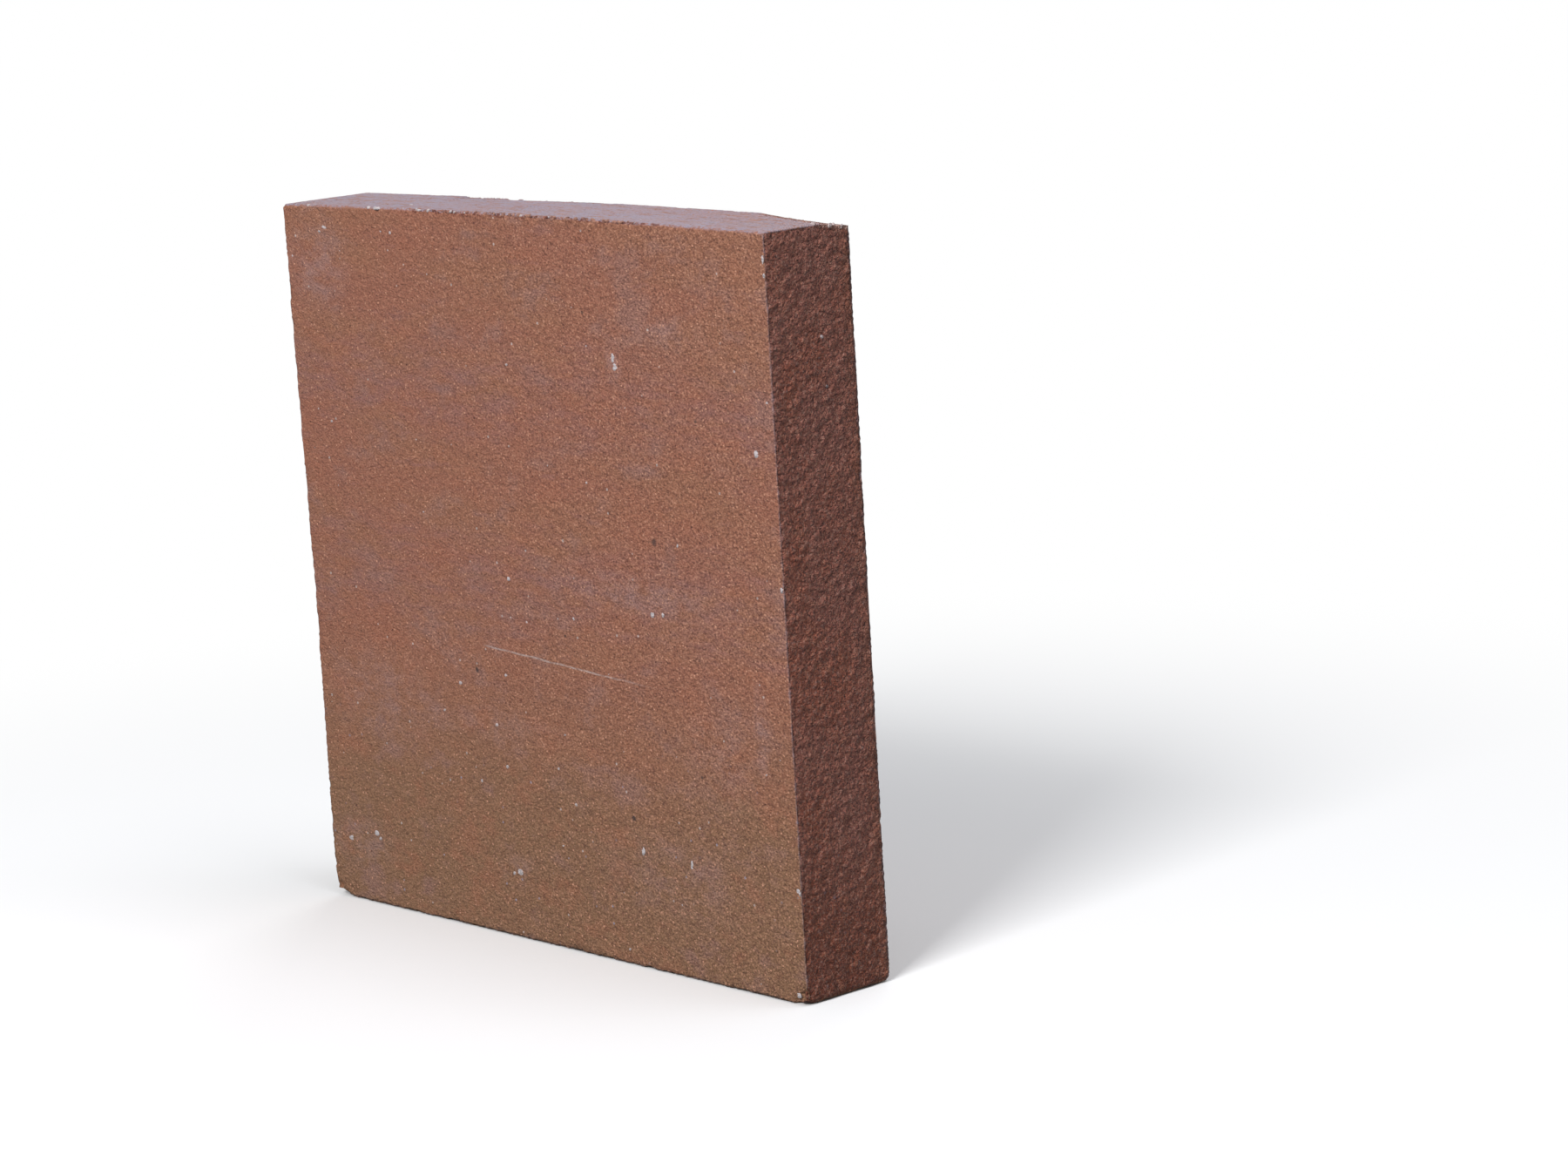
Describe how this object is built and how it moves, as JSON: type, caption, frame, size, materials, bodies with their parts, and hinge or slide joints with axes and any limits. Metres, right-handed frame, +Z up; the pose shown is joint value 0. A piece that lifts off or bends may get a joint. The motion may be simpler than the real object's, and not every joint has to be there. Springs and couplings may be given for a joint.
{
  "type": "refractory tile",
  "caption": "Square slab tile of fired refractory clay with sharp worn arrises, for lining or flooring hearths and ovens.",
  "frame": {"origin": "middle of the narrow edge that the tile stands on", "axes": "+Z up from that edge, +X along the tile's width, -Y out of the fair broad face, so Y runs through the thickness"},
  "size_m": [0.2, 0.03, 0.2008],
  "materials": {
    "fired_clay": "unglazed fired clay with fine grog, matt"
  },
  "bodies": {
    "root": {"refractory_tile": "fired_clay"}
  },
  "joints": []
}
